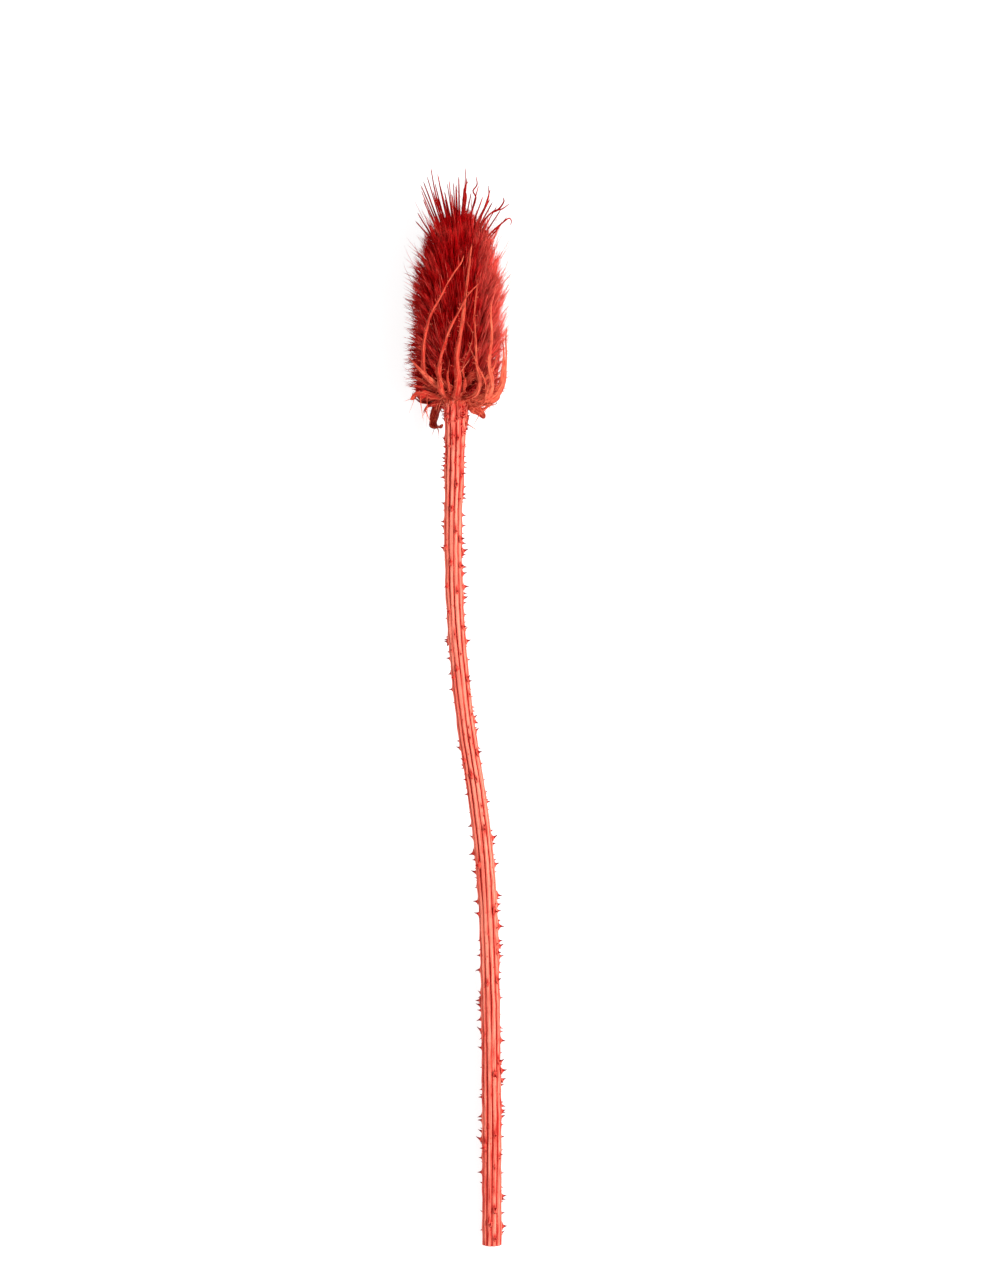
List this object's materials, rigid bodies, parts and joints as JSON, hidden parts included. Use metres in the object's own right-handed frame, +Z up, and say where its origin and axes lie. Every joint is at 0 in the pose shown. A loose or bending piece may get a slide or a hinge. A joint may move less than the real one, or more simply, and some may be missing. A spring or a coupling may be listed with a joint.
{
  "type": "dried teasel head",
  "caption": "Dried, dyed teasel: a long egg-shaped head of stiff spines with a bristly crown, cupped by long curved bracts, on a slim, ribbed, prickly cut stem.",
  "frame": {"origin": "bottom centre of the whole object's box, on the surface it lies on", "axes": "+Y from the cut end of the stem towards the head's crown, +Z up from the surface, +X to the right seen from above with the head at the top"},
  "size_m": [0.043, 0.4444, 0.0408],
  "materials": {
    "dyed_stem": "matt dry plant stem, dyed salmon red, with paler ribs",
    "dyed_bract": "matt dry bract, dyed orange red",
    "dyed_scales": "matt dry scales and spines, dyed deep crimson"
  },
  "bodies": {
    "root": {"stem": "dyed_stem", "bracts": "dyed_bract", "head": "dyed_scales"}
  },
  "joints": []
}
